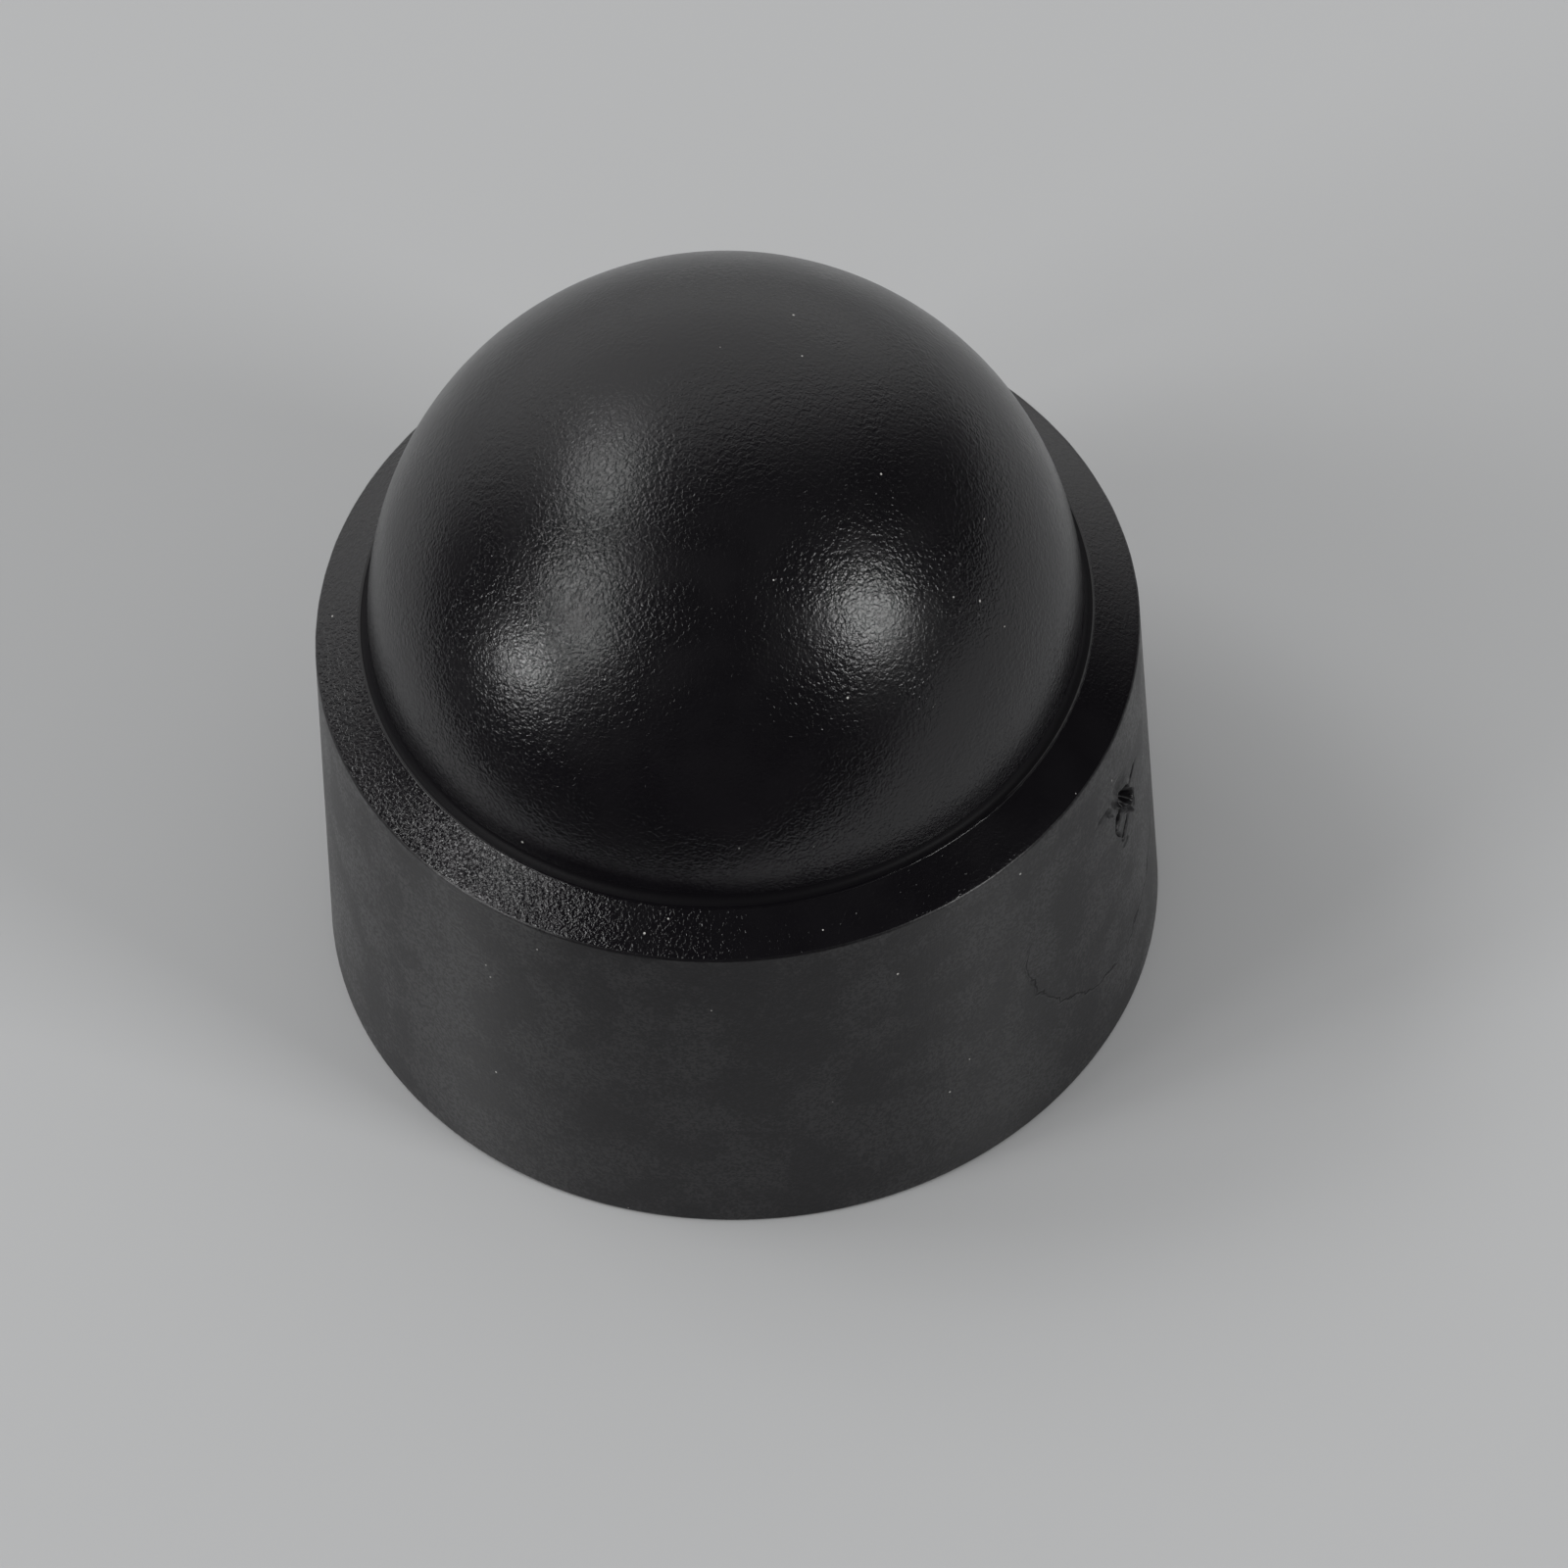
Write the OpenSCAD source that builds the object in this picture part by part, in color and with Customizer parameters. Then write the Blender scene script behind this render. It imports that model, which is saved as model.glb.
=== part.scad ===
// Push-on protective cap for a hexagon nut or bolt head, moulded in one piece.
// A round skirt holds the hexagon socket, and a dome closes it over the bolt's end.
// The origin is the middle of the open end. +Z runs up the axis through the dome.

/* [Socket] */
// Width across flats of the nut or bolt head that the cap goes over
nut_af = 13; // [10:0.5:24]
// Room left across the flats once the cap is on
nut_clearance = 0.04; // [0:0.02:0.3]
// Depth of the hexagon, from the open end to the ledge that stops the nut
socket_depth = 8.2; // [6:0.1:16]
// Width of the chamfer that leads the nut into the hexagon
lead_in = 0.35; // [0.1:0.05:0.6]

/* [Snap beads] */
// How far a bead stands out of its flat
bead_proud = 0.2; // [0.1:0.05:0.4]
// Radius that a bead is rounded to
bead_r = 0.9; // [0.6:0.1:1.1]
// Straight length of a bead along its flat
bead_len = 3.2; // [1:0.1:4]
// Height of the beads above the open end
bead_z = 1.6; // [1.3:0.1:3]

/* [Skirt] */
// Wall outside the hexagon's corners, at the open end
corner_wall = 1.47; // [1.1:0.01:3]
// Draft of the outside in degrees, so that the cap comes out of its mould
skirt_draft = 0.45; // [0:0.05:1]
// Height of the rim edge above the stop ledge
ledge_to_rim = 1.05; // [0.6:0.05:3]
// Rounding of the outer edge at the open end
mouth_edge_r = 0.12; // [0.05:0.01:0.3]
// Rounding of the rim edge, where the skirt meets the shoulder
rim_edge_r = 0.08; // [0.04:0.01:0.2]

/* [Dome] */
// Width of the stop ledge at the middle of each flat
ledge_w = 0.27; // [0.1:0.01:0.8]
// Wall of the dome
dome_wall = 1.5; // [1:0.05:1.8]
// Height that the sloping shoulder gains between the rim edge and the dome
shoulder_rise = 0.6; // [0.1:0.05:1.5]
// Step up from the shoulder on to the separate mould insert of the dome
insert_step = 0.03; // [0.01:0.01:0.1]
// Radius of the smooth cove at the foot of the dome
cove_r = 0.2; // [0.1:0.05:0.4]

/* [Gate scar] */
// Angle of the torn injection gate round the axis, from +X: the middle of a flat
gate_angle = -30; // [-180:1:180]
// Depth of the scar's middle below the rim edge
gate_drop = 2.9; // [1.5:0.1:4]
// Width of the torn pit round the skirt
gate_w = 1.2; // [0.6:0.1:2]
// Height of the torn pit up the skirt
gate_h = 2.1; // [1:0.1:3]
// Depth of the torn pit
gate_depth = 0.3; // [0.1:0.05:0.6]

/* [Hidden] */
$fn = 96;
cut = 0.5; // how far a cutting shape runs past the face that it opens
edge_share = 0.97; // distance of a rounded edge's centre from its walls, over its radius

socket_af = nut_af + nut_clearance;
flat_r = socket_af / 2;
corner_r = flat_r / cos(30);
mouth_r = corner_r + corner_wall;
skirt_h = socket_depth + ledge_to_rim;
rim_r = mouth_r - skirt_h * tan(skirt_draft);
cavity_r = flat_r - ledge_w;
dome_r = cavity_r + dome_wall;
foot_r = dome_r + cove_r;
foot_z = skirt_h + shoulder_rise;
cove_z = foot_z + insert_step;
dome_z = cove_z + cove_r;
shoulder_slope = atan(shoulder_rise / (rim_r - foot_r));
gate_z = skirt_h - gate_drop;
gate_r = mouth_r - gate_z * tan(skirt_draft);
pit_r = (pow(gate_w / 2, 2) + pow(gate_depth, 2)) / (2 * gate_depth);

// Radius and height of a point reached by going a distance from another at an angle.
function beside(point, distance, angle) =
    [point[0] + distance * cos(angle), point[1] + distance * sin(angle)];

// Ring-shaped cutter that rounds a sharp outer edge of a turned solid. a and b are the
// directions of the edge's two walls, seen in half section, with b past a. The round's
// centre lies a little under r from both walls, so that the arc crosses them cleanly.
module edge_round(corner, r, a, b) {
    half = (b - a) / 2;
    centre = beside(corner, edge_share * r / sin(half), a + half);
    rotate_extrude()
        difference() {
            polygon([centre, beside(centre, r + cut, a - 90),
                beside(corner, 2 * cut / sin(half), a + half + 180),
                beside(centre, r + cut, b + 90)]);
            translate(centre) circle(r);
        }
}

// Drafted skirt under the sloping shoulder.
module skirt() {
    difference() {
        union() {
            cylinder(h = skirt_h, r1 = mouth_r, r2 = rim_r);
            translate([0, 0, skirt_h]) cylinder(h = shoulder_rise, r1 = rim_r, r2 = foot_r);
        }
        edge_round([mouth_r, 0], mouth_edge_r, 90 + skirt_draft, 180);
        edge_round([rim_r, skirt_h], rim_edge_r, 180 - shoulder_slope, 270 + skirt_draft);
    }
}

// Dome on its foot, whose side is hollowed by the cove. The foot stands one
// insert_step above the shoulder, and reaches down through it to the stop ledge.
module dome() {
    difference() {
        translate([0, 0, socket_depth]) cylinder(h = dome_z - socket_depth, r = foot_r);
        rotate_extrude()
            translate([foot_r, dome_z]) circle(cove_r);
    }
    translate([0, 0, dome_z]) sphere(dome_r);
}

// Room for the bolt's end: a short round well under a hemisphere.
module thread_well() {
    translate([0, 0, socket_depth - cut])
        cylinder(h = dome_z - socket_depth + cut, r = cavity_r);
    translate([0, 0, dome_z]) sphere(cavity_r);
}

// Hexagon for the nut, with its corners on X and a chamfer round its mouth.
module socket() {
    mouth_corner_r = (flat_r + lead_in) / cos(30);
    translate([0, 0, -cut]) cylinder(h = socket_depth + cut, r = corner_r, $fn = 6);
    cylinder(h = lead_in, r1 = mouth_corner_r, r2 = corner_r, $fn = 6);
}

// Round-ended bead lying along the flat whose middle is on +X.
module snap_bead() {
    translate([flat_r + bead_r - bead_proud, 0, bead_z]) {
        rotate([90, 0, 0]) cylinder(h = bead_len, r = bead_r, center = true);
        for (side = [-1, 1])
            translate([0, side * bead_len / 2, 0]) sphere(bead_r);
    }
}

// Oval pit left in the skirt where the moulding's gate tore off.
module gate_pit() {
    spread = (gate_h - gate_w) / 2;
    rotate([0, 0, gate_angle])
        for (side = [-1:1])
            translate([gate_r - gate_depth + pit_r, 0, gate_z + side * spread])
                sphere(pit_r);
}

module cap() {
    color([0.045, 0.045, 0.05]) {
        difference() {
            union() {
                skirt();
                dome();
            }
            thread_well();
            socket();
            gate_pit();
        }
        for (flat = [0:5])
            rotate([0, 0, 60 * flat + 30]) snap_bead();
    }
}

cap();
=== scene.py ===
"""Push-on plastic cap for a hexagon nut or bolt head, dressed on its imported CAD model.

Everything is in metres in the model's own frame: the origin is the middle of the open end,
and +Z runs up the axis through the dome.
"""
import math

import bpy
import numpy as np
from mathutils import Matrix, Vector


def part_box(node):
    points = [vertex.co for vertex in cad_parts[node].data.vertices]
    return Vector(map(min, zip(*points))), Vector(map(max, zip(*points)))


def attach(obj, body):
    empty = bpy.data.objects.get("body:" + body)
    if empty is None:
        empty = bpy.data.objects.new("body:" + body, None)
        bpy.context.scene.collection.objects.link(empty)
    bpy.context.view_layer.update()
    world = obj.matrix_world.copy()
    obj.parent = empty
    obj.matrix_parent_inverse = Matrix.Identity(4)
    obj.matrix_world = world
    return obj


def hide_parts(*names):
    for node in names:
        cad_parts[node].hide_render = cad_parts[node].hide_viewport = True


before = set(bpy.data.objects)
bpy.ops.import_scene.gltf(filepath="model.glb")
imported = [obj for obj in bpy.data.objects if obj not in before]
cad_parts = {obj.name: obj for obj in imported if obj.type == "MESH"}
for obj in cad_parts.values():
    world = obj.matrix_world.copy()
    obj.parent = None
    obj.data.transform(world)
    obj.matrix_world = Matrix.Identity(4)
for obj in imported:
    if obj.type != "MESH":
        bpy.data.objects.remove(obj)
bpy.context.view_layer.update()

# ---- The moulded cap -------------------------------------------------------------------
# One injection moulding in black polyethylene: a drafted skirt round a hexagon socket, a
# sloping shoulder and a hemispherical dome. The dome and shoulder are spark-eroded in the
# mould, the skirt is drawn off a satin cavity, and the gate tore out of its side.

MM = 0.001

# Sizes of the outer walls. The dome's crown and the open end are those of the CAD node.
cap_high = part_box("cap")[1]
dome_r = 7.75 * MM
dome_z = cap_high.z - dome_r
cove_r = 0.2 * MM
insert_step = 0.03 * MM
insert_edge_r = 0.024 * MM
insert_lean = math.radians(-60)
insert_uneven = 0.008 * MM
shoulder_rise = 0.6 * MM
skirt_draft = math.radians(0.45)
skirt_uneven = 0.004 * MM
rim_edge_r = 0.08 * MM
rim_uneven = 0.003 * MM
mouth_edge_r = 0.12 * MM
mouth_r = cap_high.x
foot_r = dome_r + cove_r
cove_z = dome_z - cove_r
foot_z = cove_z - insert_step
rim_z = foot_z - shoulder_rise
rim_r = mouth_r - rim_z * math.tan(skirt_draft)
shoulder_slope = math.atan2(shoulder_rise, rim_r - foot_r)

# Sizes of the socket and of the room above it.
flat_r = 6.52 * MM
lead_in = 0.35 * MM
socket_depth = 8.2 * MM
cavity_r = 6.25 * MM
bead_r = 0.9 * MM
bead_proud = 0.2 * MM
bead_half = 1.6 * MM
bead_z = 1.6 * MM

# Place of the gate scar: its angle round the axis and the height of its middle.
gate_turn = math.radians(-30)
gate_z = rim_z - 2.9 * MM
gate_r = mouth_r - gate_z * math.tan(skirt_draft)

# Columns of the mesh, in degrees. One runs up each of the hexagon's corners, and they lie over
# eight times as close across the gate scar.
column_step = 1.2
close_step = 0.14
close_reach = 6.0
coarse = np.radians(np.arange(0, 360, column_step)) - math.pi
near_gate = np.radians(np.arange(-close_reach, close_reach + 0.01, close_step)) + gate_turn
away = np.abs(coarse - gate_turn) > math.radians(close_reach + 0.1)
turns = np.sort(np.concatenate([coarse[away], near_gate]))


def ring_rows(radius, height):
    """Rows of points round the axis. Each radius and height is one number a row, or one
    number for every row and column: x and y are radius times cosine and sine of the turn."""
    radius, height = (np.atleast_1d(v) for v in (radius, height))
    radius, height = (v[:, None] if v.ndim == 1 else v for v in (radius, height))
    radius, height, turn = np.broadcast_arrays(radius, height, turns[None, :])
    return np.stack([radius * np.cos(turn), radius * np.sin(turn), height], axis=-1)


def arc(centre, radius, start, end, count):
    """Radii and heights along an arc of the half section: the centre plus the radius times
    the cosine and sine of an angle that runs evenly from start to end, both in degrees."""
    angle = np.radians(np.linspace(start, end, count))
    return centre[0] + radius * np.cos(angle), centre[1] + radius * np.sin(angle)


def smooth_noise(u, v, seed, pitch):
    """Smooth noise over a plane, about -1 to 1: twelve plane waves of random direction and
    phase, with wavelengths spread round the pitch, added up and scaled."""
    draw = np.random.default_rng(seed)
    heading = draw.uniform(0, 2 * math.pi, 12)
    phase = draw.uniform(0, 2 * math.pi, 12)
    wave = 2 * math.pi / (pitch * draw.uniform(0.6, 1.7, 12))
    total = np.zeros(np.broadcast(u, v).shape)
    for h, p, w in zip(heading, phase, wave):
        total += np.sin(w * (u * math.cos(h) + v * math.sin(h)) + p)
    return total / math.sqrt(12)


# Dome, from just beside its crown down to the cove at its foot. The arcs' ends are degrees.
crown_step = 2.2
dome_rows = ring_rows(*arc((0, dome_z), dome_r, start=90 - crown_step, end=0, count=41))
cove_rows = ring_rows(*arc((foot_r, dome_z), cove_r, start=192, end=262, count=6))

# Edge of the mould insert at the dome's foot. The insert sits a hair off centre, so the edge
# stands proud on the front right and sinks almost to nothing on the far side.
least_proud = 0.08
leaning = np.clip(0.5 + 0.9 * np.cos(turns - insert_lean), 0, 1)
proud = least_proud + (1 - least_proud) * leaning**2
uneven = insert_uneven * smooth_noise(turns * foot_r, 0, seed=5, pitch=0.45 * MM)
edge_r, edge_z = arc((foot_r, -insert_edge_r), insert_edge_r, start=100, end=0, count=7)
edge_rows = ring_rows(
    edge_r[:, None] + uneven * proud,
    cove_z + (edge_z[:, None] + 0.25 * uneven) * proud,
)

# Shoulder, from the insert's edge to just before the rounded rim. It rises by the insert's
# step where that edge isn't proud.
step_reach = 0.15 * MM
shoulder_r = np.linspace(foot_r + 0.004 * MM, rim_r - 0.14 * MM, num=7)
shoulder_z = rim_z + (rim_r - shoulder_r) * math.tan(shoulder_slope)
near_foot = np.exp(-(shoulder_r - foot_r) / step_reach)
shoulder_z = shoulder_z[:, None] + insert_step * (1 - proud) * near_foot[:, None]
shoulder_rows = ring_rows(shoulder_r, shoulder_z)

# Rim edge, rounded between shoulder and skirt, which little knocks have left uneven. The
# skirt below it is a hair out of round, as a moulding is that shrinks on to its core.
rim_drop = rim_edge_r * math.tan(math.pi / 4 - shoulder_slope / 2)
rim_centre = (rim_r - rim_edge_r + rim_drop * math.tan(skirt_draft), rim_z - rim_drop)
rim_start = 90 - math.degrees(shoulder_slope)
knocks = rim_uneven * smooth_noise(turns * rim_r, 0, seed=8, pitch=0.9 * MM)
round_x = np.cos(turns) * mouth_r
round_y = np.sin(turns) * mouth_r
waves = skirt_uneven * smooth_noise(round_x, round_y, seed=3, pitch=7 * MM)
edge_r, edge_z = arc(rim_centre, rim_edge_r, start=rim_start, end=0, count=6)
rim_rows = ring_rows(edge_r[:, None] + knocks + waves, edge_z[:, None])


# Gate scar. Its strokes are given on the developed skirt, in millimetres from the scar's
# middle: u to the right, seen from outside, and v up.
def groove(u, v, path, width, depth):
    """Depth of a groove along a path of points: the depth times a bell curve of the distance
    to the path's nearest straight piece over the width."""
    nearest = np.full(u.shape, np.inf)
    for (u0, v0), (u1, v1) in zip(path, path[1:]):
        du, dv = u1 - u0, v1 - v0
        share = np.clip(((u - u0) * du + (v - v0) * dv) / (du * du + dv * dv), 0, 1)
        nearest = np.minimum(nearest, np.hypot(u - u0 - share * du, v - v0 - share * dv))
    return depth * np.exp(-((nearest / width) ** 2))


def slot(u, v, start, end, half_width, depth, wall):
    """Depth of a straight slot with a flat floor: the distance to its middle line, less the
    half width, turned into depth by a smooth step as wide as the wall."""
    du, dv = end[0] - start[0], end[1] - start[1]
    share = np.clip(((u - start[0]) * du + (v - start[1]) * dv) / (du * du + dv * dv), 0, 1)
    apart = np.hypot(u - start[0] - share * du, v - start[1] - share * dv)
    step = np.clip((half_width + wall / 2 - apart) / wall, 0, 1)
    return depth * step * step * (3 - 2 * step)


SCAR_SLOTS = [
    # start, end, half width, depth, wall
    ((0.10, 0.44), (0.47, -0.10), 0.20, 0.36, 0.15),
    ((-0.36, 0.18), (-0.34, 0.02), 0.10, 0.08, 0.14),
]
SCAR_GROOVES = [
    # path, width, depth: below nothing is a fibre or a lip that stands proud
    ([(0.34, 0.36), (0.53, 0.50), (0.84, 0.62)], 0.05, 0.10),
    ([(-1.25, 1.12), (-0.95, 1.05), (-0.62, 0.70)], 0.06, 0.05),
    ([(-0.14, 0.30), (-0.25, 0.08), (-0.38, -0.10)], 0.07, 0.26),
    ([(0.25, 0.05), (0.33, -0.35), (0.10, -0.46), (0.02, -0.67), (-0.13, -0.77)], 0.06, 0.17),
    ([(-0.36, 0.16), (-0.46, 0.11), (-0.42, -0.22), (-0.21, -0.64)], 0.035, 0.08),
    ([(-0.16, 0.50), (0.05, 0.14), (0.30, -0.36)], 0.035, -0.20),
    ([(-0.30, 0.56), (-0.14, 0.40), (-0.02, 0.10)], 0.03, -0.09),
    ([(0.33, 0.42), (0.37, 0.38)], 0.03, -0.12),
    ([(0.46, 0.22), (0.60, 0.02)], 0.04, -0.05),
    ([(-0.66, 0.80), (-0.52, 0.56)], 0.05, -0.05),
    ([(-0.10, -1.08), (0.12, -1.04)], 0.05, -0.03),
    ([(0.66, -0.24), (0.64, -0.56)], 0.04, -0.035),
]


def scar_depth(u, v):
    """Depth of the torn gate at a place on the developed skirt, all in millimetres: the
    deeper of its slots, its grooves and fibres added, and a ragged floor where it is deep.
    Noise moves the place a little first, so that no stroke is straight."""
    waver = 0.035
    ragged = 0.015
    ragged_from = 0.08
    moved_u = u + waver * smooth_noise(u, v, seed=21, pitch=0.45)
    moved_v = v + waver * smooth_noise(u, v, seed=22, pitch=0.4)
    depth = np.maximum.reduce([slot(moved_u, moved_v, *row) for row in SCAR_SLOTS])
    depth += sum(groove(moved_u, moved_v, *row) for row in SCAR_GROOVES)
    deep = np.clip(depth / ragged_from, 0, 1)
    return depth + deep * ragged * smooth_noise(moved_u, moved_v, seed=23, pitch=0.16)


SINK_MIDDLE = (-0.18, 0.98)
SINK_REACH = (0.3, 0.4)
SINK_DEPTH = 0.13


def scar_sink(u, v):
    """Depth of the soft hollow that the skirt sinks into above the tear: the depth times a
    bell curve of the distances from its middle in u and v, each over its reach."""
    along = (u - SINK_MIDDLE[0]) / SINK_REACH[0]
    upward = (v - SINK_MIDDLE[1]) / SINK_REACH[1]
    return SINK_DEPTH * np.exp(-(along**2) - upward**2)


# Skirt, with close rows across the scar, then the rounded edge of the open end. The scar
# reaches so many millimetres to each side, and fades out before the close rows end.
skirt_top = rim_centre[1] - 0.02 * MM
scar_span = 1.55 * MM
scar_reach = 2
scar_end = 1.5
scar_fade = 0.2
skirt_z = np.concatenate([
    np.linspace(skirt_top, gate_z + scar_span, num=6, endpoint=False),
    np.linspace(gate_z + scar_span, gate_z - scar_span, num=92),
    np.linspace(gate_z - scar_span, mouth_edge_r, num=16)[1:],
])
skirt_r = mouth_r - skirt_z * math.tan(skirt_draft)
across = (turns - gate_turn)[None, :] * gate_r / MM
up = (skirt_z[:, None] - gate_z) / MM
near_scar = np.clip(across, -scar_reach, scar_reach)
scar = scar_depth(near_scar, up) + scar_sink(near_scar, up)
scar = np.where(np.abs(across) < scar_reach, scar, 0)
scar *= np.clip((scar_end - np.abs(up)) / scar_fade, 0, 1)
skirt_rows = ring_rows(skirt_r[:, None] + waves - scar * MM, skirt_z)
mouth_centre = (mouth_r - mouth_edge_r, mouth_edge_r)
edge_r, edge_z = arc(mouth_centre, mouth_edge_r, start=-12, end=-90, count=5)
mouth_rows = ring_rows(edge_r[:, None] + waves, edge_z[:, None])


# Socket: the hexagon, its lead-in chamfer and a snap bead lying along each flat.
def from_flat_middle(turn):
    """Angle from the middle of the nearest flat: the rest of the turn over 60 degrees, less
    30 degrees, because the corners are at 0, 60 and so on."""
    return np.mod(turn, math.pi / 3) - math.pi / 6


def hexagon(half_width):
    """Distance from the axis to a hexagon's wall in every column: half the width across the
    flats over the cosine of the angle from the nearest flat's middle."""
    return half_width / np.cos(from_flat_middle(turns))


def beaded_flat(height):
    """Distance from the axis to the hexagon's flats with their beads. A bead is a round-ended
    bar: its face is its centre's distance less the root of the radius squared, less the
    squares of the distances along and up from the bar's middle line."""
    aside = np.abs(flat_r * np.tan(from_flat_middle(turns)))
    past_end = np.maximum(aside - bead_half, 0)
    under_root = bead_r**2 - past_end**2 - (height[:, None] - bead_z) ** 2
    face = flat_r + bead_r - bead_proud - np.sqrt(np.maximum(under_root, 0))
    return np.minimum(face, flat_r) / np.cos(from_flat_middle(turns))


# Face of the open end, from the mouth's edge in to the chamfer of the hexagon.
face_share = np.array([0.35, 0.7])[:, None]
face_edge = mouth_r - mouth_edge_r + waves
face_inner = hexagon(flat_r + lead_in)
face_rows = ring_rows(face_edge + (face_inner - face_edge) * face_share, [0, 0])
chamfer_z = np.linspace(0, lead_in, 3)
chamfer_rows = ring_rows(np.stack([hexagon(flat_r + lead_in - z) for z in chamfer_z]), chamfer_z)

# Walls of the hexagon, with close rows over the beads and few below and above them.
below_beads = 0.7 * MM
above_beads = 2.8 * MM
bead_reach = math.sqrt(bead_r**2 - (bead_r - bead_proud) ** 2)
over_beads = bead_z + bead_reach * np.sin(np.radians(np.linspace(-90, 90, num=15)))
flat_z = [[below_beads], over_beads, np.linspace(above_beads, socket_depth, num=5)]
flat_z = np.concatenate(flat_z)
flat_rows = ring_rows(beaded_flat(flat_z), flat_z)

# Stop ledge, and the well for the bolt's end under its hemisphere.
ledge_rows = ring_rows((hexagon(flat_r) + cavity_r)[None, :] / 2, [socket_depth])
vault_step = 3
well_rows = ring_rows([cavity_r, cavity_r], [socket_depth, (socket_depth + dome_z) / 2])
inner_rows = ring_rows(*arc((0, dome_z), cavity_r, start=0, end=90 - vault_step, count=28))


def cap_mesh(stretches, crown, vault):
    """One closed mesh from stretches of rows, each with its material's number, from the crown
    down the outside and up the inside to the vault: quads between rows, a fan at each pole."""
    rows = np.concatenate([stretch for stretch, number in stretches])
    finish = np.concatenate([[number] * len(stretch) for stretch, number in stretches])
    count, columns = rows.shape[:2]
    index = np.arange(count * columns).reshape(count, columns)
    beside = np.roll(index, -1, axis=1)
    quads = np.stack([index[:-1], index[1:], beside[1:], beside[:-1]], axis=-1).reshape(-1, 4)
    top, bottom = count * columns, count * columns + 1
    first = np.stack([np.full(columns, top), index[0], beside[0]], axis=-1)
    last = np.stack([np.full(columns, bottom), beside[-1], index[-1]], axis=-1)
    points = np.concatenate([rows.reshape(-1, 3), [crown, vault]])
    mesh = bpy.data.meshes.new("moulded_cap")
    mesh.from_pydata(points.tolist(), [], quads.tolist() + first.tolist() + last.tolist())
    slots = np.concatenate([
        np.repeat(finish[1:], columns),
        np.full(columns, finish[0]),
        np.full(columns, finish[-1]),
    ])
    mesh.polygons.foreach_set("material_index", slots.astype(np.int32))
    mesh.shade_smooth()
    sharp_from = math.radians(24)
    mesh.set_sharp_from_angle(angle=sharp_from)
    return mesh


DOME, COVE, EDGE, SHOULDER, SKIRT, CORE = range(6)
cap_data = cap_mesh(
    [
        (dome_rows, DOME),
        (cove_rows, COVE),
        (edge_rows, EDGE),
        (shoulder_rows, SHOULDER),
        (rim_rows[:1], SHOULDER),
        (rim_rows[1:], SKIRT),
        (skirt_rows, SKIRT),
        (mouth_rows, SKIRT),
        (face_rows, CORE),
        (chamfer_rows, CORE),
        (flat_rows, CORE),
        (ledge_rows, CORE),
        (well_rows, CORE),
        (inner_rows, CORE),
    ],
    crown=(0, 0, dome_z + dome_r),
    vault=(0, 0, dome_z + cavity_r),
)


# How torn the skirt is at each point, from 0 to 1, for the bare dull plastic inside the scar.
# A point outside the hexagon's corners is one of the outer wall's.
full_tear = 0.06
scar_height = 1.6
points = np.empty(len(cap_data.vertices) * 3)
cap_data.vertices.foreach_get("co", points)
points = points.reshape(-1, 3)
point_u = (np.arctan2(points[:, 1], points[:, 0]) - gate_turn) * gate_r / MM
point_v = (points[:, 2] - gate_z) / MM
outside = np.hypot(points[:, 0], points[:, 1]) > flat_r / math.cos(math.pi / 6) + 0.5 * MM
in_reach = (np.abs(point_u) < scar_reach) & (np.abs(point_v) < scar_height)
on_scar = outside & in_reach
torn = np.clip(np.abs(scar_depth(point_u, point_v)) / full_tear, 0, 1)
torn = np.where(on_scar, torn, 0)
cap_data.attributes.new("torn", "FLOAT", "POINT").data.foreach_set("value", torn)

# The plastic tore softly there, so none of the scar's edges is shaded sharp.
edge_ends = np.empty(len(cap_data.edges) * 2, dtype=np.int32)
cap_data.edges.foreach_get("vertices", edge_ends)
sharp = np.empty(len(cap_data.edges), dtype=bool)
cap_data.attributes["sharp_edge"].data.foreach_get("value", sharp)
sharp &= ~on_scar[edge_ends.reshape(-1, 2)].any(axis=1)
cap_data.attributes["sharp_edge"].data.foreach_set("value", sharp)


# Finishes of the moulding. Each effect is a node group that reads the cap's own place.
def add(tree, kind, inputs=(), **settings):
    """Adds a node of a kind, sets its properties and its inputs, and returns it. An input is
    a value, or the output socket that it is linked from."""
    made = tree.nodes.new(kind)
    for name, value in settings.items():
        setattr(made, name, value)
    for name, value in dict(inputs).items():
        socket = made.inputs[name]
        if isinstance(value, bpy.types.NodeSocket):
            tree.links.new(value, socket)
        else:
            socket.default_value = value
    return made


def maths(tree, operation, *values):
    """A Math node's output. Each value is a number or an output socket."""
    return add(tree, "ShaderNodeMath", enumerate(values), operation=operation).outputs[0]


def span(tree, value, low, high, to_low=0.0, to_high=1.0):
    """A value carried smoothly from the range low to high on to the range given."""
    return add(
        tree,
        "ShaderNodeMapRange",
        {"Value": value, "From Min": low, "From Max": high, "To Min": to_low, "To Max": to_high},
        interpolation_type="SMOOTHSTEP",
    ).outputs["Result"]


def near(tree, value, middle, reach):
    """A bell from 0 to 1 over a value: 1 at the middle and 0 from one reach away."""
    apart = maths(tree, "ABSOLUTE", maths(tree, "SUBTRACT", value, middle))
    return span(tree, maths(tree, "DIVIDE", apart, reach), 0.0, 1.0, 1.0, 0.0)


def effect(name, inputs, outputs):
    """An empty node group with named number inputs and outputs, and its two end nodes."""
    tree = bpy.data.node_groups.new(name, "ShaderNodeTree")
    for label, value in inputs.items():
        given = tree.interface.new_socket(label, in_out="INPUT", socket_type="NodeSocketFloat")
        given.default_value = value
    for label in outputs:
        tree.interface.new_socket(label, in_out="OUTPUT", socket_type="NodeSocketFloat")
    return tree, tree.nodes.new("NodeGroupInput"), tree.nodes.new("NodeGroupOutput")


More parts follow.
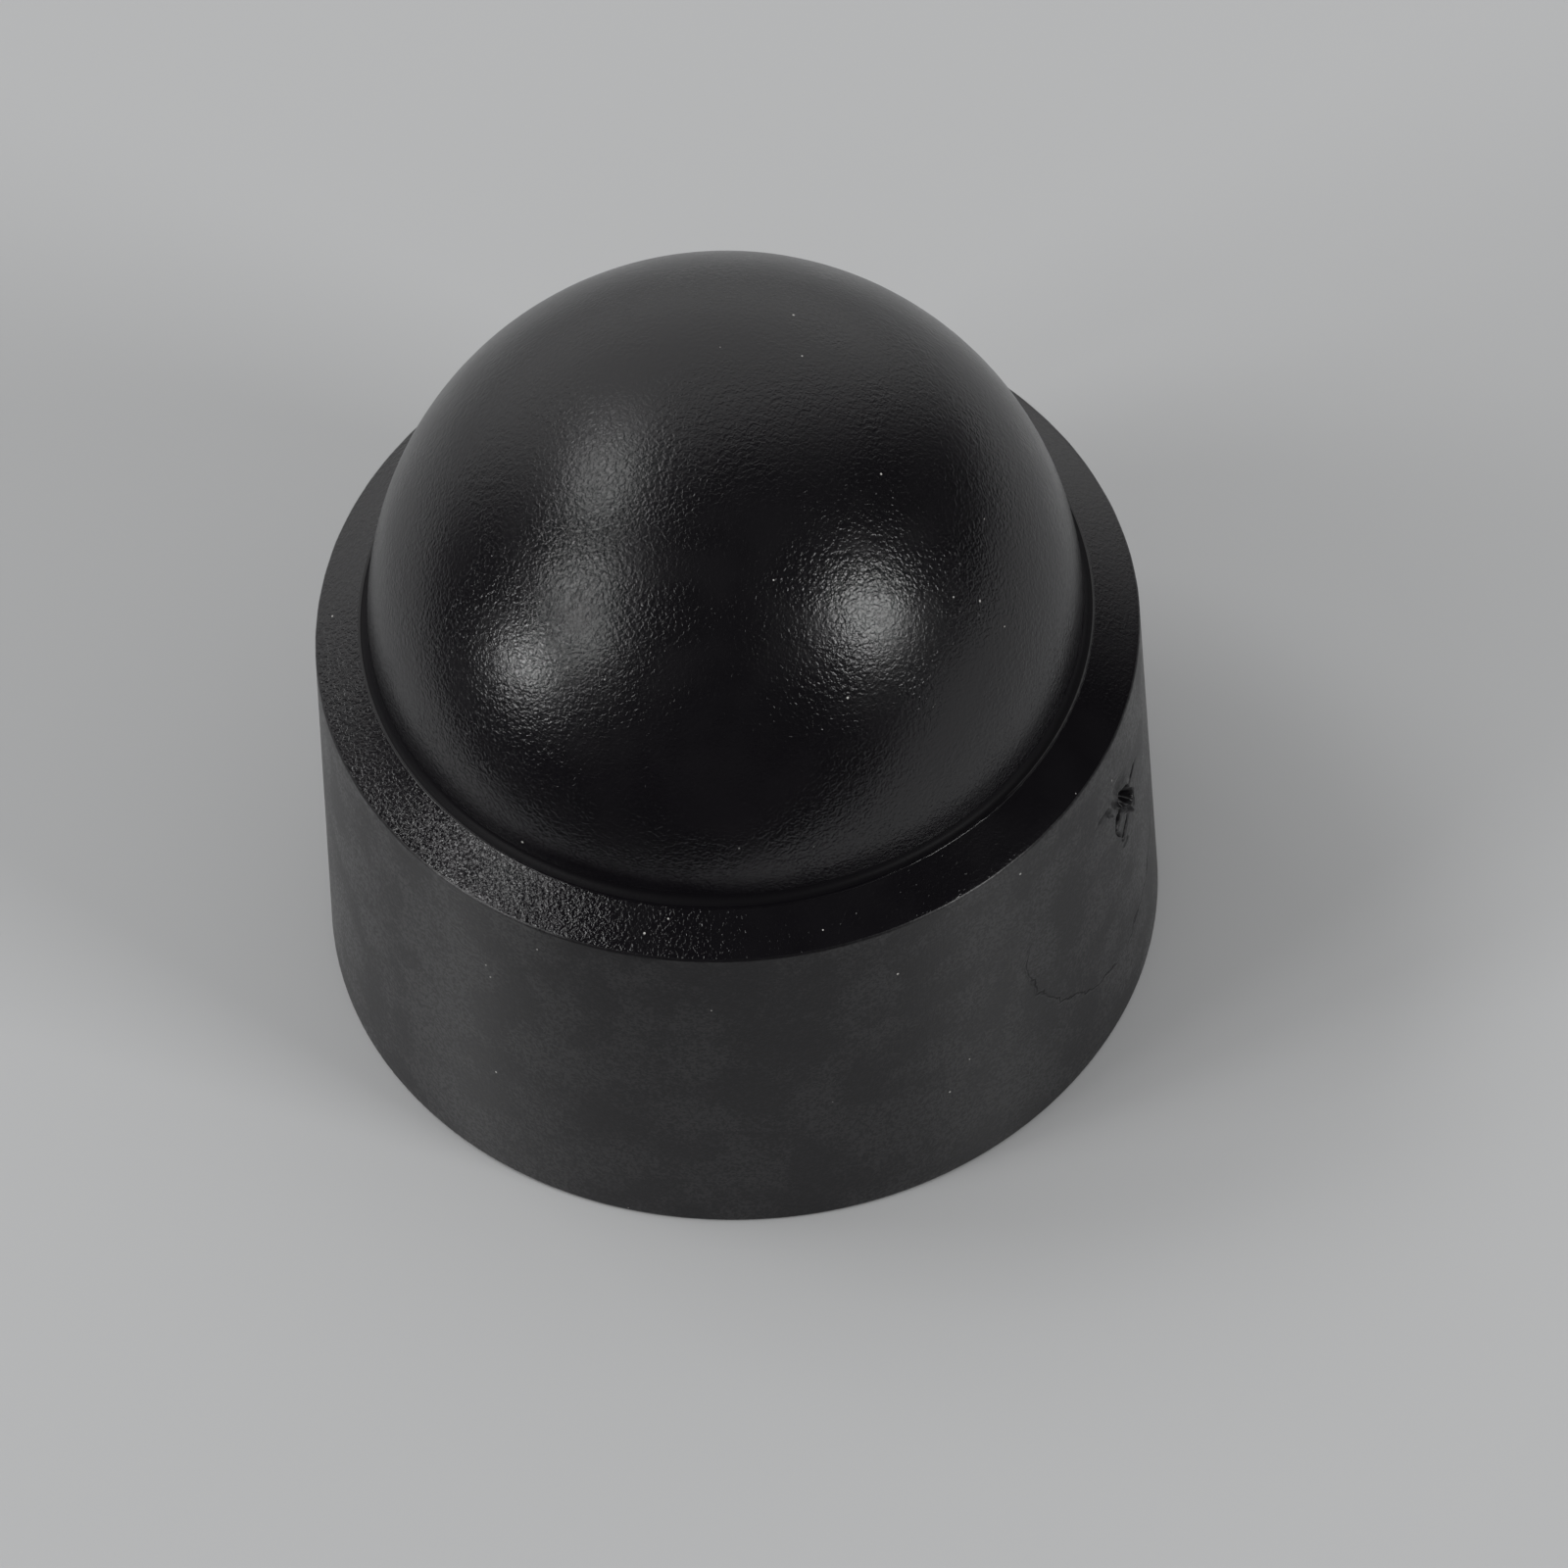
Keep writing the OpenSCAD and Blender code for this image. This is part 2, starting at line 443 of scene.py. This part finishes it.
def grain_group():
    """Spark-eroded grain: a fine leathery relief of bumps and creases, lower in places. Its
    size is the width of a bump in metres, and its height runs from 0 to 1."""
    tree, given, made = effect(
        "Spark grain", {"Size": 0.1 * MM, "Patchiness": 0.3}, ["Height", "Patches"]
    )
    place = add(tree, "ShaderNodeTexCoord").outputs["Object"]
    bump_at_one = 1.35  # width of the noise's bumps at a scale of 1
    scale = maths(tree, "DIVIDE", bump_at_one, given.outputs["Size"])
    bumps = add(
        tree,
        "ShaderNodeTexNoise",
        {"Vector": place, "Scale": scale, "Detail": 1.5, "Roughness": 0.5, "Distortion": 0.7},
    ).outputs["Fac"]
    swells = add(
        tree,
        "ShaderNodeTexNoise",
        {"Vector": place, "Scale": maths(tree, "MULTIPLY", scale, 0.45), "Detail": 1.0},
    ).outputs["Fac"]
    patches = add(
        tree,
        "ShaderNodeTexNoise",
        {"Vector": place, "Scale": maths(tree, "MULTIPLY", scale, 0.06), "Detail": 3.0},
    ).outputs["Fac"]
    fine = maths(tree, "MULTIPLY", span(tree, bumps, 0.28, 0.72), 0.65)
    broad = maths(tree, "MULTIPLY", swells, 0.35)
    worn = maths(tree, "MULTIPLY", span(tree, patches, 0.4, 0.65), given.outputs["Patchiness"])
    left = maths(tree, "SUBTRACT", 1.0, worn)
    height = maths(tree, "MULTIPLY", maths(tree, "ADD", fine, broad), left)
    tree.links.new(height, made.inputs["Height"])
    tree.links.new(patches, made.inputs["Patches"])
    return tree


def dust_group():
    """Dust and pale chips: sparse round specks of uneven size, as a mask."""
    tree, given, made = effect("Dust specks", {"Spacing": 1.0 * MM, "Size": 0.03 * MM}, ["Mask"])
    place = add(tree, "ShaderNodeTexCoord").outputs["Object"]
    density = maths(tree, "DIVIDE", 1.0, given.outputs["Spacing"])
    cells = add(
        tree, "ShaderNodeTexVoronoi", {"Vector": place, "Scale": density, "Randomness": 1.0}
    )
    luck = add(tree, "ShaderNodeSeparateColor", {"Color": cells.outputs["Color"]}).outputs["Red"]
    share = maths(tree, "DIVIDE", given.outputs["Size"], given.outputs["Spacing"])
    reach = maths(tree, "MULTIPLY", span(tree, luck, 0.55, 1.0), share)
    mask = maths(tree, "LESS_THAN", cells.outputs["Distance"], reach)
    tree.links.new(mask, made.inputs["Mask"])
    return tree


def drag_group():
    """Marks of the skirt's slide out of its cavity: fine lines drawn along the axis, broken
    up by patches. The noise is read in a space that is pressed flat along the axis."""
    tree, given, made = effect(
        "Drag marks", {"Width": 0.05 * MM, "Length": 1.0 * MM}, ["Height", "Patches"]
    )
    place = add(tree, "ShaderNodeTexCoord").outputs["Object"]
    flatness = maths(tree, "DIVIDE", given.outputs["Width"], given.outputs["Length"])
    press = add(tree, "ShaderNodeCombineXYZ", {"X": 1.0, "Y": 1.0, "Z": flatness}).outputs[0]
    pressed = add(
        tree, "ShaderNodeVectorMath", {0: place, 1: press}, operation="MULTIPLY"
    ).outputs[0]
    line_at_one = 0.75  # width of the noise's lines at a scale of 1
    scale = maths(tree, "DIVIDE", line_at_one, given.outputs["Width"])
    lines = add(
        tree,
        "ShaderNodeTexNoise",
        {"Vector": pressed, "Scale": scale, "Detail": 2.0, "Roughness": 0.6, "Distortion": 0.3},
    ).outputs["Fac"]
    patches = add(
        tree,
        "ShaderNodeTexNoise",
        {"Vector": place, "Scale": 1 / (0.7 * MM), "Detail": 4.0, "Roughness": 0.7},
    ).outputs["Fac"]
    height = maths(tree, "MULTIPLY", lines, span(tree, patches, 0.35, 0.65))
    tree.links.new(height, made.inputs["Height"])
    tree.links.new(patches, made.inputs["Patches"])
    return tree


# Flow line round the gate: its circle, and the side on which it is deep.
ring_r = 3.6 * MM
ring_turn = gate_turn - 0.4 * MM / gate_r
ring_centre = (gate_r * math.cos(ring_turn), gate_r * math.sin(ring_turn), gate_z - 0.6 * MM)
ring_side = (0.15 * math.sin(ring_turn), -0.15 * math.cos(ring_turn), -1.0)


def flow_ring_group():
    """Flow line on a wavering circle round the gate: a hairline crease with a low lip outside
    it, deep on the side toward the open end and dying out round the other. The height
    is -1 in the crease and goes up to 0.5 on the lip; the crease is a mask as well."""
    tree, given, made = effect(
        "Flow ring", {"Radius": ring_r, "Width": 0.03 * MM}, ["Height", "Crease"]
    )
    place = add(tree, "ShaderNodeTexCoord").outputs["Object"]
    apart = add(tree, "ShaderNodeVectorMath", {0: place, 1: ring_centre}, operation="SUBTRACT")
    away = add(tree, "ShaderNodeVectorMath", {0: apart.outputs[0]}, operation="LENGTH")
    facing = add(
        tree, "ShaderNodeVectorMath", {0: apart.outputs[0], 1: ring_side}, operation="DOT_PRODUCT"
    )
    noise = {"Vector": place, "Scale": 1 / (1.1 * MM), "Detail": 3.0, "Roughness": 0.6}
    wander = add(tree, "ShaderNodeTexNoise", noise).outputs["Fac"]
    waver = 0.2 * MM
    off = maths(tree, "SUBTRACT", away.outputs["Value"], given.outputs["Radius"])
    off = maths(tree, "ADD", off, span(tree, wander, 0.2, 0.8, -waver, waver))
    width = given.outputs["Width"]
    crease = near(tree, off, 0.0, width)
    lip = near(tree, off, maths(tree, "MULTIPLY", width, 1.5), width)
    depth = span(tree, facing.outputs["Value"], -0.25 * ring_r, 0.6 * ring_r)
    depth = maths(tree, "MULTIPLY", depth, span(tree, wander, 0.3, 0.45))
    height = maths(tree, "SUBTRACT", maths(tree, "MULTIPLY", lip, 0.5), crease)
    tree.links.new(maths(tree, "MULTIPLY", height, depth), made.inputs["Height"])
    tree.links.new(maths(tree, "MULTIPLY", crease, depth), made.inputs["Crease"])
    return tree


grain = grain_group()
dust = dust_group()
drag = drag_group()
flow_ring = flow_ring_group()

# Colours of the plastic, of its worn patches and of the dust.
BLACK = (0.0048, 0.0042, 0.0055, 1.0)
GREYED = (0.0064, 0.0057, 0.0071, 1.0)
PALE_DUST = (0.50, 0.49, 0.47, 1.0)


def plastic(name, roughness):
    """A material with its Principled shader and its own tree, ready for a finish."""
    made = bpy.data.materials.new(name)
    made.use_nodes = True
    tree = made.node_tree
    shader = tree.nodes["Principled BSDF"]
    shader.inputs["Base Color"].default_value = BLACK
    shader.inputs["Roughness"].default_value = roughness
    shader.inputs["IOR"].default_value = 1.5
    return made, tree, shader


def dusted(tree, shader, colour, spacing, size):
    """Puts dust specks over a colour and feeds it to the shader."""
    specks = add(tree, "ShaderNodeGroup", {"Spacing": spacing, "Size": size}, node_tree=dust)
    mixed = add(
        tree,
        "ShaderNodeMix",
        {0: specks.outputs["Mask"], 6: colour, 7: PALE_DUST},
        data_type="RGBA",
    )
    tree.links.new(mixed.outputs[2], shader.inputs["Base Color"])


def bump(tree, height, distance, over=None):
    """The normal of a height's relief, as deep as the distance, over another normal if any."""
    inputs = {"Height": height, "Distance": distance, "Strength": 1.0}
    if over:
        inputs["Normal"] = over
    return add(tree, "ShaderNodeBump", inputs).outputs[0]


def spark_finish(name, size, depth, patchiness, roughness, worn_side):
    """Spark-eroded black plastic: the grain as bump, lower on the worn side toward +X, and a
    little duller and greyer where patches of it are worn down."""
    made, tree, shader = plastic(name, roughness)
    texture = add(
        tree, "ShaderNodeGroup", {"Size": size, "Patchiness": patchiness}, node_tree=grain
    )
    place = add(tree, "ShaderNodeTexCoord").outputs["Object"]
    across = add(tree, "ShaderNodeSeparateXYZ", {0: place}).outputs["X"]
    worn_reach = 3.0 * MM
    crisp = span(tree, across, -worn_reach, worn_reach, 1.0, worn_side)
    relief = bump(tree, maths(tree, "MULTIPLY", texture.outputs["Height"], crisp), depth)
    tree.links.new(relief, shader.inputs["Normal"])
    patches = span(tree, texture.outputs["Patches"], 0.3, 0.7)
    dullness = span(tree, patches, 0.0, 1.0, roughness - 0.02, roughness + 0.03)
    tree.links.new(dullness, shader.inputs["Roughness"])
    colour = add(
        tree, "ShaderNodeMix", {0: patches, 6: BLACK, 7: GREYED}, data_type="RGBA"
    ).outputs[2]
    dusted(tree, shader, colour, spacing=0.55 * MM, size=0.028 * MM)
    return made


def drawn_finish(name):
    """Satin skirt. Fine tool marks run round it, so that its own sheen spreads up and down.
    Its relief is drag marks, the flow ring and a fine grain. A smoother skin lies over all
    but the torn gate and the flow ring's crease."""
    made, tree, shader = plastic(name, roughness=0.45)
    shader.inputs["Anisotropic"].default_value = 0.9
    shader.inputs["Anisotropic Rotation"].default_value = 0.25
    shader.inputs["Specular IOR Level"].default_value = 0.42
    shader.inputs["Coat Roughness"].default_value = 0.3
    marks = add(
        tree, "ShaderNodeGroup", {"Width": 0.05 * MM, "Length": 0.5 * MM}, node_tree=drag
    )
    texture = add(
        tree, "ShaderNodeGroup", {"Size": 0.11 * MM, "Patchiness": 0.5}, node_tree=grain
    )
    ring = add(
        tree, "ShaderNodeGroup", {"Radius": ring_r, "Width": 0.04 * MM}, node_tree=flow_ring
    )
    relief = bump(tree, marks.outputs["Height"], 0.003 * MM)
    relief = bump(tree, ring.outputs["Height"], 0.03 * MM, relief)
    relief = bump(tree, texture.outputs["Height"], 0.005 * MM, relief)
    tree.links.new(relief, shader.inputs["Normal"])
    torn_mask = add(tree, "ShaderNodeAttribute", attribute_name="torn").outputs["Fac"]
    hollow = maths(tree, "MAXIMUM", torn_mask, ring.outputs["Crease"])
    skin = span(tree, texture.outputs["Height"], 0.2, 0.75, 0.34, 0.70)
    skin = maths(tree, "MULTIPLY", skin, maths(tree, "SUBTRACT", 1.0, hollow))
    tree.links.new(skin, shader.inputs["Coat Weight"])
    colour = add(
        tree,
        "ShaderNodeMix",
        {0: span(tree, marks.outputs["Patches"], 0.3, 0.7), 6: BLACK, 7: GREYED},
        data_type="RGBA",
    ).outputs[2]
    dusted(tree, shader, colour, spacing=0.5 * MM, size=0.028 * MM)
    return made


def plain_finish(name, roughness, specular):
    """Plain mould finish with a faint broad relief only: smooth on the inside, polished on the
    insert's edge, dull in the cove at the dome's foot, where a low specular level also paints
    shade into the crease."""
    made, tree, shader = plastic(name, roughness)
    shader.inputs["Specular IOR Level"].default_value = specular
    texture = add(
        tree, "ShaderNodeGroup", {"Size": 0.2 * MM, "Patchiness": 0.6}, node_tree=grain
    )
    relief = bump(tree, texture.outputs["Height"], 0.003 * MM)
    tree.links.new(relief, shader.inputs["Normal"])
    return made


cap = bpy.data.objects.new("moulded_cap", cap_data)
bpy.context.scene.collection.objects.link(cap)
for finish in (
    spark_finish(
        "dome_spark_finish",
        size=0.125 * MM,
        depth=0.0105 * MM,
        patchiness=0.5,
        roughness=0.24,
        worn_side=0.9,
    ),
    # The cove's low specular level is painted shade in the crease at the dome's foot.
    plain_finish("cove_painted_shade_finish", roughness=0.5, specular=0.12),
    plain_finish("insert_edge_finish", roughness=0.14, specular=0.5),
    spark_finish(
        "shoulder_spark_finish",
        size=0.12 * MM,
        depth=0.015 * MM,
        patchiness=0.4,
        roughness=0.15,
        worn_side=0.3,
    ),
    drawn_finish("skirt_satin_finish"),
    plain_finish("core_finish", roughness=0.33, specular=0.5),
):
    cap_data.materials.append(finish)
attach(cap, "root")
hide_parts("cap")

# ---- Floor -----------------------------------------------------------------------------
# A plain pale table top, open under the cap's mouth, where it can't be seen from above. Its
# underside is clear to the camera, so that the socket shows from below.
floor_r = 4.0
floor_hole_r = mouth_r - 2 * mouth_edge_r
floor_drop = 0.002 * MM
floor_columns = 96
floor_rows = 24
floor_colour = (0.56, 0.565, 0.57, 1.0)

floor_turns = np.linspace(0, 2 * math.pi, floor_columns, endpoint=False)
floor_radii = np.geomspace(floor_hole_r, floor_r, floor_rows)
floor_grid = np.stack(
    [
        floor_radii[:, None] * np.cos(floor_turns),
        floor_radii[:, None] * np.sin(floor_turns),
        np.full((floor_rows, floor_columns), -floor_drop),
    ],
    axis=-1,
)
floor_index = np.arange(floor_grid[..., 0].size).reshape(floor_grid.shape[:2])
floor_next = np.roll(floor_index, -1, axis=1)
floor_faces = np.stack(
    [floor_index[:-1], floor_index[1:], floor_next[1:], floor_next[:-1]], axis=-1
).reshape(-1, 4)
floor_data = bpy.data.meshes.new("floor")
floor_data.from_pydata(floor_grid.reshape(-1, 3).tolist(), [], floor_faces.tolist())
floor = bpy.data.objects.new("floor", floor_data)
bpy.context.scene.collection.objects.link(floor)

floor_finish = bpy.data.materials.new("floor_finish")
floor_finish.use_nodes = True
floor_tree = floor_finish.node_tree
floor_shader = floor_tree.nodes["Principled BSDF"]
floor_shader.inputs["Base Color"].default_value = floor_colour
floor_shader.inputs["Roughness"].default_value = 0.9
floor_shader.inputs["Specular IOR Level"].default_value = 0.0
clear = add(floor_tree, "ShaderNodeBsdfTransparent")
from_below = maths(
    floor_tree,
    "MULTIPLY",
    add(floor_tree, "ShaderNodeNewGeometry").outputs["Backfacing"],
    add(floor_tree, "ShaderNodeLightPath").outputs["Is Camera Ray"],
)
floor_mix = add(
    floor_tree,
    "ShaderNodeMixShader",
    {0: from_below, 1: floor_shader.outputs[0], 2: clear.outputs[0]},
)
floor_tree.links.new(
    floor_mix.outputs[0], floor_tree.nodes["Material Output"].inputs["Surface"]
)
floor_data.materials.append(floor_finish)

# ---- Black card, a painted dark reflection ---------------------------------------------
# A black card lies on the floor in front, a little to the left. It paints a dark reflection into
# the cap's front and left side: it shows in reflections only, and throws no shadow.
card_near = 18.5 * MM
card_far = 1.5
card_lift = 0.1 * MM
card_azimuth = math.radians(-38)
card_out = np.array([math.sin(card_azimuth), -math.cos(card_azimuth), 0])
card_along = np.array([math.cos(card_azimuth), math.sin(card_azimuth), 0]) * card_far
card_up = np.array([0, 0, card_lift])
card_points = [
    card_out * card_near - card_along + card_up,
    card_out * card_far - card_along + card_up,
    card_out * card_far + card_along + card_up,
    card_out * card_near + card_along + card_up,
]
card_data = bpy.data.meshes.new("painted_dark_reflection_card")
card_data.from_pydata([point.tolist() for point in card_points], [], [(0, 1, 2, 3)])
card = bpy.data.objects.new("painted_dark_reflection_card", card_data)
bpy.context.scene.collection.objects.link(card)
card.visible_camera = False
card.visible_diffuse = False
card.visible_shadow = False
painted_dark_reflection_finish = bpy.data.materials.new("painted_dark_reflection_finish")
painted_dark_reflection_finish.use_nodes = True
card_shader = painted_dark_reflection_finish.node_tree.nodes["Principled BSDF"]
# This near-black colour is a painted dark reflection, seen only by glossy rays.
card_shader.inputs["Base Color"].default_value = (0.01, 0.01, 0.01, 1.0)
card_shader.inputs["Roughness"].default_value = 0.9
card_shader.inputs["Specular IOR Level"].default_value = 0.0
card_data.materials.append(painted_dark_reflection_finish)

# ---- Studio light ----------------------------------------------------------------------
# Softboxes round the cap, further off than the camera: each is given by the azimuth and
# elevation that it stands at in degrees, its width and height in metres, and its power in
# watts. The room is pale behind the cap and dark above it and in front.
light_distance = 1.6
SOFTBOXES = [
    # name, azimuth, elevation, width, height, power
    ("right_box", 48.7, 30.2, 0.46, 0.46, 7.2),
    ("left_box", -64.0, 29.0, 0.26, 0.32, 2.2),
    ("left_mid", -80.0, 38.5, 0.36, 0.32, 2.8),
    ("left_top", -72.0, 50.0, 0.30, 0.30, 0.7),
    ("left_high", -115.0, 54.0, 0.44, 0.38, 3.0),
    ("left_back", -140.0, 50.0, 0.40, 0.40, 1.0),
    ("left_low", -77.0, 9.0, 0.24, 0.26, 4.2),
]


def toward(azimuth, elevation):
    """Unit vector at an azimuth, 0 at -Y and growing to +X, and an elevation, in degrees."""
    a, e = math.radians(azimuth), math.radians(elevation)
    return Vector((math.sin(a) * math.cos(e), -math.cos(a) * math.cos(e), math.sin(e)))


for name, azimuth, elevation, width, height, power in SOFTBOXES:
    lamp = bpy.data.lights.new(name, "AREA")
    lamp.shape = "RECTANGLE"
    lamp.size, lamp.size_y = width, height
    lamp.energy = power
    softbox = bpy.data.objects.new(name, lamp)
    bpy.context.scene.collection.objects.link(softbox)
    softbox.location = toward(azimuth, elevation) * light_distance
    softbox.rotation_euler = toward(azimuth, elevation).to_track_quat("Z", "Y").to_euler()
    softbox.visible_camera = False

# The room's strength, as it shows in reflections and behind the cap, runs from dark to pale
# with the cosine of the angle from its pale side. What it gives to dull surfaces is even.
room_pale = 0.80
room_dark = 0.02
room_fill = 0.42
pale_side = (180, 20)
pale_from = 0.42
pale_full = 0.86
world = bpy.data.worlds.new("studio")
world.use_nodes = True
bpy.context.scene.world = world
room_tree = world.node_tree
background = room_tree.nodes["Background"]
direction = add(room_tree, "ShaderNodeTexCoord").outputs["Generated"]
behind = add(
    room_tree,
    "ShaderNodeVectorMath",
    {0: direction, 1: toward(*pale_side)},
    operation="DOT_PRODUCT",
).outputs["Value"]
shown = span(room_tree, behind, pale_from, pale_full, room_dark, room_pale)
path = add(room_tree, "ShaderNodeLightPath").outputs
seen = maths(
    room_tree,
    "MAXIMUM",
    maths(room_tree, "MAXIMUM", path["Is Camera Ray"], path["Is Glossy Ray"]),
    path["Is Transmission Ray"],
)
strength = add(room_tree, "ShaderNodeMix", {0: seen, 2: room_fill, 3: shown})
room_tree.links.new(strength.outputs[0], background.inputs["Strength"])
background.inputs["Color"].default_value = (1.0, 1.0, 1.0, 1.0)

# ---- Camera ----------------------------------------------------------------------------
# A long lens from well above, a little to the left of the front and slightly rolled. Its
# angles are degrees.
camera_azimuth = -8.0
camera_elevation = 52.558
camera_roll = -3.733
camera_distance = 1.130
aim = Vector((0.000643, -0.002655, 0.007066))

camera_data = bpy.data.cameras.new("camera")
camera_data.lens = 1200.0
camera_data.sensor_width = 36.0
camera_data.clip_start = 0.01
camera_data.clip_end = 20.0
camera = bpy.data.objects.new("camera", camera_data)
bpy.context.scene.collection.objects.link(camera)
back = toward(camera_azimuth, camera_elevation)
level = back.to_track_quat("Z", "Y").to_matrix()
turned = level @ Matrix.Rotation(math.radians(camera_roll), 3, "Z")
camera.matrix_world = Matrix.Translation(aim + back * camera_distance) @ turned.to_4x4()
bpy.context.scene.camera = camera
bpy.context.scene.view_settings.view_transform = "Standard"
